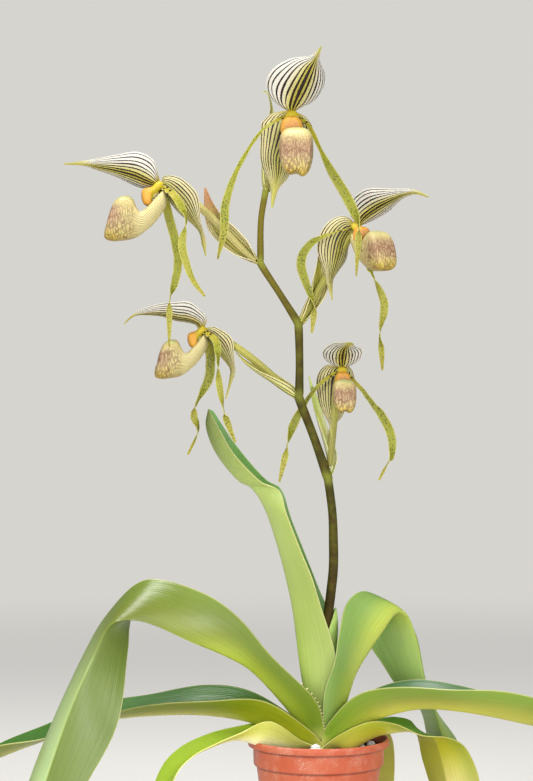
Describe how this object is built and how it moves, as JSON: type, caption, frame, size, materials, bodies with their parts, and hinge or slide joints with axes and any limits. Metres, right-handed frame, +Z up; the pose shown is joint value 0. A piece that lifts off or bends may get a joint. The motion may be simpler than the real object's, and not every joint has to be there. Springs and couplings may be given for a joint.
{
  "type": "potted slipper orchid plant",
  "caption": "Tall slipper orchid in flower: arching folded strap leaves, a zigzag stem with striped, pouched flowers, in a small round plastic nursery pot.",
  "frame": {"origin": "centre of the pot's flat underside", "axes": "+Z up; -Y towards the side that faces the viewer in the picture; +X to the viewer's right"},
  "size_m": [0.671, 0.1635, 0.6861],
  "materials": {
    "pot": "satin terracotta-coloured plastic",
    "bark": "rough, dark, damp bark",
    "perlite": "rough white lumps",
    "leaf": "smooth, satin green",
    "stem": "dark olive brown with fine hairs",
    "ovary": "ribbed, matte yellow-green",
    "bract": "thin, striped pale green",
    "sepal": "thin, cream with dark stripes",
    "petal": "thin, yellow-green with dark specks",
    "pouch": "satin yellow cream with brownish veins",
    "shield": "satin orange"
  },
  "bodies": {
    "root": {"pot": "pot", "potting_bark": "bark", "perlite_1": "perlite", "perlite_2": "perlite", "perlite_3": "perlite", "perlite_4": "perlite", "perlite_5": "perlite", "perlite_6": "perlite", "crown": "leaf", "leaf_1": "leaf", "leaf_2": "leaf", "leaf_3": "leaf", "leaf_4": "leaf", "leaf_5": "leaf", "leaf_6": "leaf", "leaf_7": "leaf", "leaf_8": "leaf", "leaf_9": "leaf", "flower_stem": "stem", "ovary_1": "ovary", "column_1": "shield", "pouch_1": "pouch", "dorsal_sepal_1": "sepal", "petal_left_1": "petal", "petal_right_1": "petal", "synsepal_1": "sepal", "bract_1": "bract", "ovary_2": "ovary", "column_2": "shield", "pouch_2": "pouch", "dorsal_sepal_2": "sepal", "petal_left_2": "petal", "petal_right_2": "petal", "synsepal_2": "sepal", "bract_2": "bract", "ovary_3": "ovary", "column_3": "shield", "pouch_3": "pouch", "dorsal_sepal_3": "sepal", "petal_left_3": "petal", "petal_right_3": "petal", "synsepal_3": "sepal", "bract_3": "bract", "ovary_4": "ovary", "column_4": "shield", "pouch_4": "pouch", "dorsal_sepal_4": "sepal", "petal_left_4": "petal", "petal_right_4": "petal", "synsepal_4": "sepal", "bract_4": "bract", "ovary_5": "ovary", "column_5": "shield", "pouch_5": "pouch", "dorsal_sepal_5": "sepal", "petal_left_5": "petal", "petal_right_5": "petal", "synsepal_5": "sepal", "bract_5": "bract"}
  },
  "joints": []
}
